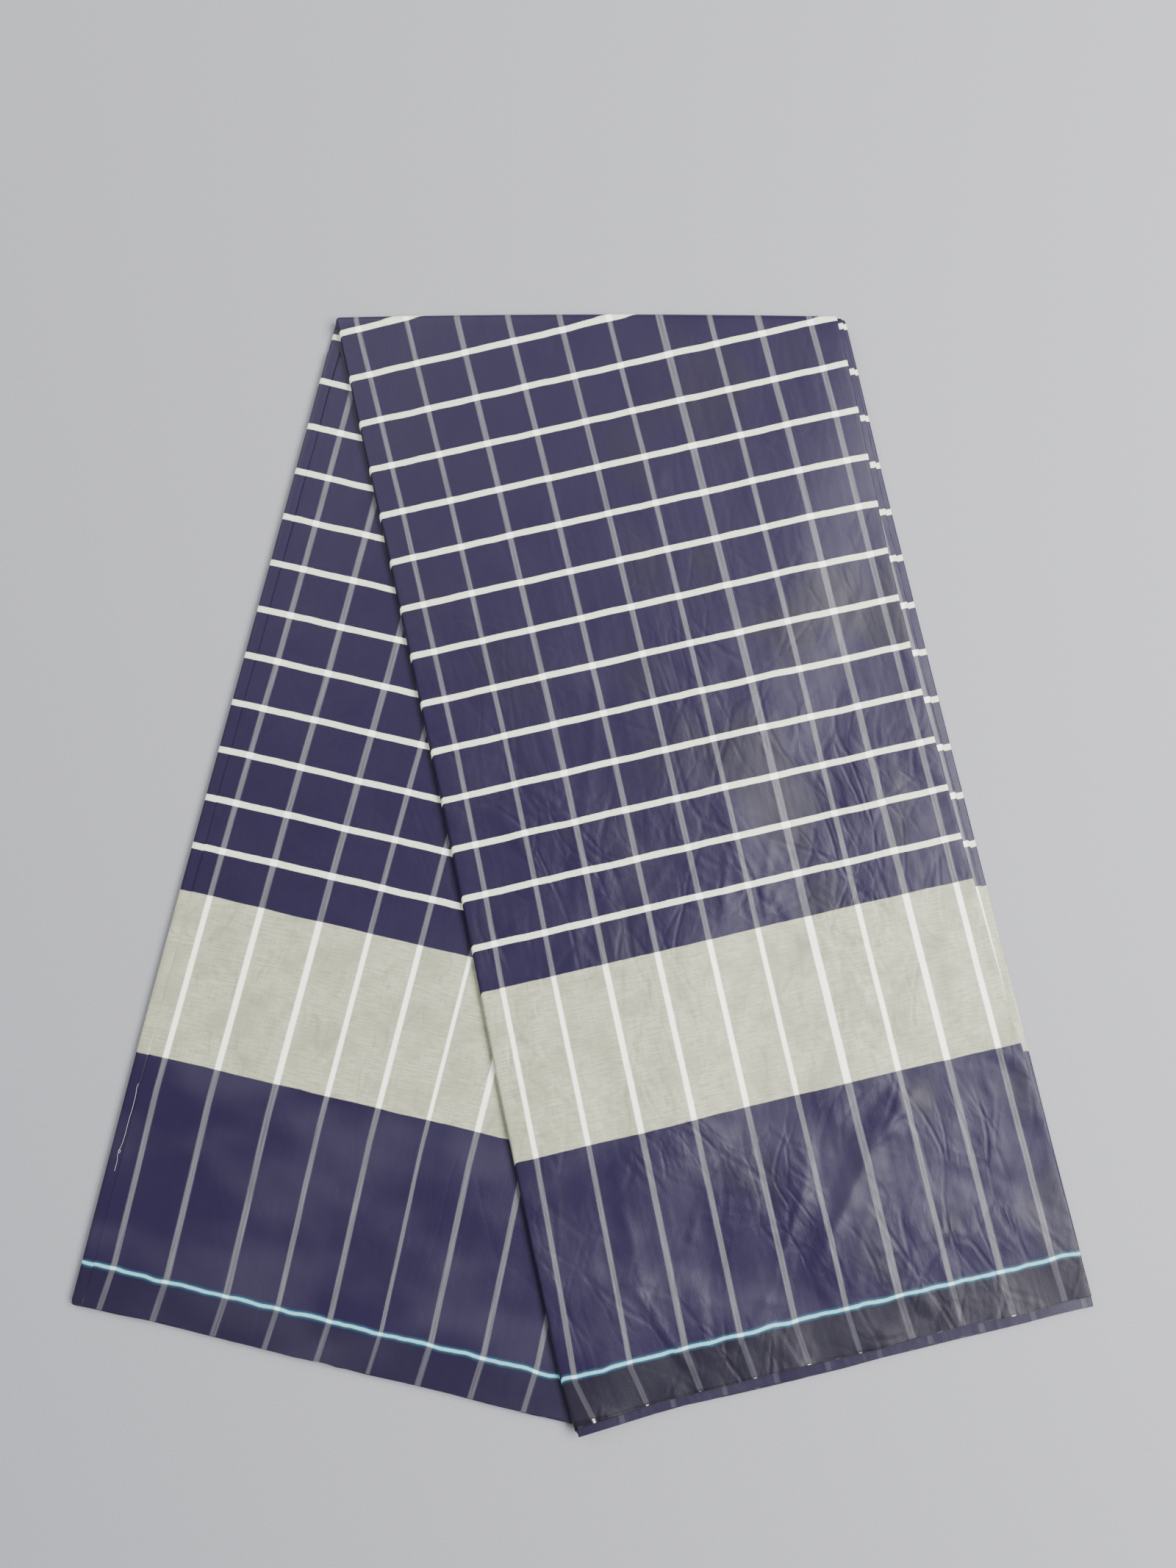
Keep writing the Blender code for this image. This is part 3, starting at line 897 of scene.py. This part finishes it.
# how much of each woven part shows at a point, from 0 to 1
def wovenPattern(n, at):
    down = at["down"]
    rowShare = n.sum("DIVIDE", n.minus(down, weave["firstRow"]), weave["rowPitch"])
    rowOff = n.times(n.sum("ABSOLUTE", n.minus(rowShare, n.sum("ROUND", rowShare))), weave["rowPitch"])
    row = n.fall(rowOff, weave["rowHalf"] - 0.25, weave["rowHalf"] + 0.25)
    row = n.times(row, n.rise(down, weave["rowsFrom"] - 0.5, weave["rowsFrom"] + 0.5))

    # thin lines, for which a ramp holds each one's width in centimetres and how much its gap shows
    lineShare = n.sum("DIVIDE", at["sideways"], linePitch / mm)
    lineNumber = n.sum("ROUND", lineShare)
    lineOff = n.times(n.sum("ABSOLUTE", n.minus(lineShare, lineNumber)), linePitch / mm)
    places = weave["rampPlaces"]
    own = n.add("ValToRGB", {"Fac": n.sum("DIVIDE", n.plus(lineNumber, 0.5), places)})
    ramp = own.node.color_ramp
    ramp.interpolation = "CONSTANT"
    ramp.elements.remove(ramp.elements[1])
    for number, (width, gap) in weave["widths"].items():
        stop = ramp.elements[0] if number == 0 else ramp.elements.new(number / places)
        stop.color = (width / 10, weave["gapShare"] * gap, 0.0, 1.0)
    own = n.add("SeparateColor", {"Color": own}).node.outputs
    past = n.minus(lineOff, n.times(own["Red"], weave["lineHalf"] / 0.3))

    bandStart = n.rise(down, weave["bandFrom"] - 0.3, weave["bandFrom"] + 0.3)
    cyanOff = n.sum("ABSOLUTE", n.minus(down, weave["cyanAt"]))
    # the weft shows white where it turns at the selvage
    turned = n.times(n.fall(at["fromEdge"], 0.20, 0.50), n.fall(past, -0.9, -0.5))
    return {
        "row": row,
        "line": n.fall(past, -0.45, 0.5),
        "gap": n.times(n.fall(lineOff, 0.2, 0.55), own["Green"]),
        "crossed": n.fall(past, 0.1, 0.7),
        "band": n.times(bandStart, n.fall(down, weave["bandTo"] - 0.3, weave["bandTo"] + 0.3)),
        "cyan": n.fall(cyanOff, 0.45, 1.25),
        "teal": n.fall(cyanOff, 1.2, 2.6),
        "selvage": n.fall(down, weave["cyanAt"] - 2.5, weave["cyanAt"]),
        "turned": n.times(turned, n.rise(n.noise(at["cloth"], 0.11, 0.0), 0.30, 0.62), at["upperLeg"]),
        "slubAcross": n.noise(n.stretch(at["cloth"], 0.10, 1.1), 1.0, 4.0, 0.7),
        "slubDown": n.noise(n.stretch(at["cloth"], 1.2, 0.08), 1.0, 4.0, 0.7),
        "blotch": n.noise(at["cloth"], 0.045, 3.0, 0.55),
    }


# how much each coat shows, and for pairs how much more of it on the upper leg
coats = {
    # some coats are painted light: the two kinds of sheen patches, the shadow line at the hem and the shade
    # in the band's creases
    "warp": 0.5, "rubAndSheen": 0.8, "paintedSheen": 0.5, "selvage": (0.30, 0.55), "teal": 0.75, "gap": 0.55,
    "bandWarp": 0.55, "bandBlotch": 0.6, "bandCreaseShade": 0.42, "dimLine": (0.42, 0.22), "hemShadowLine": 0.6,
}


# the navy ground, with painted sheen in two kinds of patches, grey ones on the upper leg's right half and
# lighter ones nearest the hem, and darker by the selvage
def navyGround(n, at, woven):
    cloth, fromEdge = at["cloth"], at["fromEdge"]
    # grey patches of painted sheen on the right half of the upper leg, weaker towards the hem
    patches = n.rise(n.noise(n.stretch(cloth, 1.0, 0.7), 0.020, 1.0), 0.52, 0.66)
    rubAndSheen = n.minus(1.0, n.times(n.rise(fromEdge, 380.0, 600.0), 0.5))
    rightward = n.plus(0.35, n.times(n.rise(at["count"], 2.0, 6.5), 0.65))
    # lighter patches of painted sheen, nearest the hem
    paintedSheen = n.rise(n.noise(n.stretch(cloth, 0.7, 1.2), 0.016, 2.0), 0.40, 0.68)
    paintedSheen = n.times(paintedSheen, n.fall(fromEdge, 120.0, 300.0))
    least, more = coats["selvage"]
    darker = n.plus(least, n.times(at["upperLeg"], more))
    return n.paint(
        n.mix(woven["blotch"], linear("navy", 0.92), linear("navy", 1.08)),
        (n.times(woven["slubDown"], coats["warp"]), "navy", 1.22),
        (n.times(patches, rubAndSheen, at["upperLeg"], rightward, coats["rubAndSheen"]), "paintedSheenGrey", 1.0),
        (n.times(paintedSheen, coats["paintedSheen"]), "paintedSheenNavy", 1.0),
        (n.times(woven["selvage"], darker), "selvageNavy", 0.9),
        (n.times(woven["teal"], coats["teal"]), "teal", 0.8),
    )


# the pale band, slubbed both ways, with painted shade along its pressed creases as faint dark lines
def paleBand(n, at, woven):
    bend = n.times(n.waver(at["cloth"], 0.03, 1.0), 40.0)
    leaning = n.join(n.plus(n.times(at["across"], 1.3), bend), n.plus(n.times(at["fromEdge"], 0.38), bend))
    # painted shade along the creases, in patches
    creaseShade = n.fall(n.cells(leaning, 0.05, feature="DISTANCE_TO_EDGE"), 0.0, 0.085)
    here = n.rise(n.noise(at["cloth"], 0.05, 2.0), 0.44, 0.60)
    return n.paint(
        n.mix(n.rise(woven["slubAcross"], 0.35, 0.65), linear("band", 0.78), linear("band", 1.26)),
        (n.times(n.rise(woven["slubDown"], 0.42, 0.66), coats["bandWarp"]), "band", 1.30),
        (n.times(n.rise(woven["blotch"], 0.42, 0.68), coats["bandBlotch"]), "band", 0.74),
        (n.times(creaseShade, here, coats["bandCreaseShade"]), "band", 0.62),
    )


def clothColour(n, at, woven):
    strands = n.rise(n.noise(n.stretch(at["cloth"], 1.9, 0.04), 1.0, 2.0, 0.5), 0.35, 0.65)
    line = n.mix(strands, linear("lineOnNavy", 0.80), linear("lineOnNavy", 1.22))
    line = n.paint(line, (n.times(woven["gap"], coats["gap"]), "navy", 1.3))
    # lines are dimmer by the selvage
    least, more = coats["dimLine"]
    dim = n.plus(least, n.times(n.plus(at["upperLeg"], n.times(at["within"], 1.6)), more))
    dim = n.minus(1.0, n.times(woven["selvage"], dim))
    colour = n.mix(n.times(woven["line"], dim), navyGround(n, at, woven), line)
    band = n.paint(paleBand(n, at, woven), (woven["line"], "lineOnBand", 1.0))
    colour = n.mix(woven["band"], colour, band)
    row = n.mix(n.rise(woven["slubAcross"], 0.3, 0.7), linear("row", 0.93), linear("row", 1.05))
    colour = n.mix(woven["row"], colour, n.paint(row, (woven["crossed"], "crossing", 1.0)))
    cyan = n.mix(woven["line"], linear("cyan"), linear("cyanCrossing"))
    # a painted shadow line along the very edge of each hem
    hemShadowLine = n.times(n.fall(at["fromEdge"], 0.5, 1.5), coats["hemShadowLine"])
    return n.paint(
        n.mix(woven["cyan"], colour, cyan),
        (hemShadowLine, "selvageNavy", 0.35),
        (woven["turned"], "row", 1.0),
    )


# Small crumples as bump. Columns: scale, depth of facets, depth of the lines between them, turn.
crumples = {
    "sizes": ((0.034, 1.0, 0.16, 0.6), (0.066, 0.5, 0.12, 1.3), (0.12, 0.16, 0.05, 2.4)),
    "bend": 34.0,
    "pressed": 0.30,
    "woven": 0.035,
    "slubs": 0.05,
    "rows": 0.05,
    "strength": 0.95,
}


def clothBump(n, at, woven):
    cloth = at["cloth"]
    shift = n.noise(cloth, 0.014, 0.0, output="Color")
    bend = (crumples["bend"], crumples["bend"], 0.0)
    bent = n.add("VectorMath", {0: shift, 1: bend, 2: cloth}, operation="MULTIPLY_ADD")
    creased = 0.0
    for scale, facetDepth, lineDepth, turn in crumples["sizes"]:
        facing = n.stretch(bent, 1.0, 0.62, turn)
        facets = n.cells(facing, scale, feature="F1", distance="CHEBYCHEV")
        creased = n.plus(creased, n.times(facets, facetDepth))
        edges = n.cells(facing, scale * 0.8, feature="DISTANCE_TO_EDGE")
        creased = n.plus(creased, n.times(n.rise(edges, 0.0, 1.6 * scale), lineDepth))
    # most on the lower half of the upper leg
    where = n.times(n.fall(at["fromEdge"], 250.0, 520.0), n.rise(n.noise(cloth, 0.018, 1.0), 0.36, 0.56))
    where = n.times(n.plus(0.20, where), n.plus(0.28, n.times(at["upperLeg"], 0.72)))
    height = n.times(creased, where)
    pressed = n.noise(n.stretch(cloth, 0.085, 0.0035), 1.0, 1.0)
    pressed = n.plus(pressed, n.times(n.noise(n.stretch(cloth, 0.30, 0.006), 1.0, 0.0), 0.22))
    height = n.plus(height, n.times(pressed, crumples["pressed"]))
    height = n.plus(height, n.times(n.ribs(cloth, "X"), n.ribs(cloth, "Y"), crumples["woven"]))
    height = n.plus(height, n.times(woven["slubDown"], crumples["slubs"]))
    height = n.plus(height, n.times(woven["row"], crumples["rows"]))
    return n.add("Bump", {"Strength": crumples["strength"], "Distance": mm, "Height": height})


glaze = {"least": 0.31, "most": 0.44, "specular": 0.21}


# calendered cotton, its glaze rubbed unevenly
def clothMaterial():
    material = bpy.data.materials.new("checked_cotton")
    n = Nodes(material)
    at = threadPlaces(n)
    woven = wovenPattern(n, at)
    rubAndSheen = n.noise(at["cloth"], 0.022, 3.0, 0.6)
    n.surface({
        "Base Color": clothColour(n, at, woven),
        "Roughness": n.spread(rubAndSheen, 0.3, 0.7, glaze["least"], glaze["most"]),
        "Normal": clothBump(n, at, woven),
        "Specular IOR Level": glaze["specular"],
    })
    return material


def plainMaterial(name, colour, roughness):
    material = bpy.data.materials.new(name)
    n = Nodes(material)
    speckle = n.noise(n.add("TexCoord", {}, "Object"), 900.0, 2.0)
    dark = tuple(c * 0.85 for c in colour[:3]) + (1.0,)
    light = tuple(min(c * 1.12, 1.0) for c in colour[:3]) + (1.0,)
    n.surface({"Base Color": n.mix(speckle, dark, light), "Roughness": roughness})
    return material


view = {
    "lens": 27.0,
    "sensor": 36.0,
    "place": (0.0054, -0.0260, 0.662),
    "tilt": math.radians(-5.51),
    "roll": math.radians(0.19),
}


# looks almost straight down, from where the front of the cloth is nearest
def buildCamera():
    camera = bpy.data.objects.new("camera", bpy.data.cameras.new("camera"))
    bpy.context.scene.collection.objects.link(camera)
    camera.data.lens = view["lens"]
    camera.data.sensor_width = view["sensor"]
    camera.data.clip_start = 0.01
    flip = Matrix.Diagonal((1.0, -1.0, -1.0))
    tilt = Matrix.Rotation(view["tilt"], 3, "X") @ Matrix.Rotation(view["roll"], 3, "Y")
    turn = (flip @ tilt @ flip).transposed()
    camera.matrix_world = Matrix.Translation(Vector(view["place"])) @ turn.to_4x4()
    bpy.context.scene.camera = camera


# lights: name, place, what it points at, its two sides, power
stage = {
    "floorSize": 8,
    "floor": (0.275, 0.275, 0.295, 1.0),
    "lights": (
        ("key", (1.22, 0.08, 1.33), (0.02, -0.02, 0.0), (1.9, 0.9), 114.0),
        ("fill", (-1.0, 1.5, 1.35), (0.0, 0.0, 0.0), (1.6, 1.6), 42.0),
    ),
    "sky": (0.86, 0.88, 0.95, 1.0),
    "skyStrength": 0.60,
}


# a pale floor under soft light that comes mostly from the right
def buildStage():
    bpy.ops.object.select_all(action="DESELECT")
    bpy.ops.mesh.primitive_plane_add(size=stage["floorSize"], location=(0, 0, 0))
    floor = bpy.context.object
    floor.name = "floor"
    floor.data.materials.append(plainMaterial("pale_floor", stage["floor"], 0.9))
    for name, place, target, sides, power in stage["lights"]:
        data = bpy.data.lights.new(name, "AREA")
        data.shape = "RECTANGLE"
        data.size, data.size_y = sides
        data.energy = power
        light = bpy.data.objects.new(name, data)
        light.location = place
        light.rotation_euler = (Vector(target) - Vector(place)).to_track_quat("-Z", "Y").to_euler()
        bpy.context.scene.collection.objects.link(light)
    world = bpy.data.worlds.new("studio")
    world.use_nodes = True
    background = world.node_tree.nodes["Background"]
    background.inputs["Color"].default_value = stage["sky"]
    background.inputs["Strength"].default_value = stage["skyStrength"]
    bpy.context.scene.world = world


def finishPiece(piece, material):
    piece.data.materials.append(material)
    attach(piece, "root")
    print(piece.name, len(piece.data.polygons), "faces")


def main():
    print("camera, floor and lights")
    buildCamera()
    buildStage()
    print("checked cotton")
    cotton = clothMaterial()
    print("upper leg")
    finishPiece(rightSheet(), cotton)
    print("lower leg")
    finishPiece(leftSheet(), cotton)
    print("layers within")
    finishPiece(innerSheet(), cotton)
    print("side seam and its loose thread")
    finishPiece(seamSheet(), cotton)
    finishPiece(seamThread(), plainMaterial("sewing_thread", seam["threadColour"], 0.8))


main()
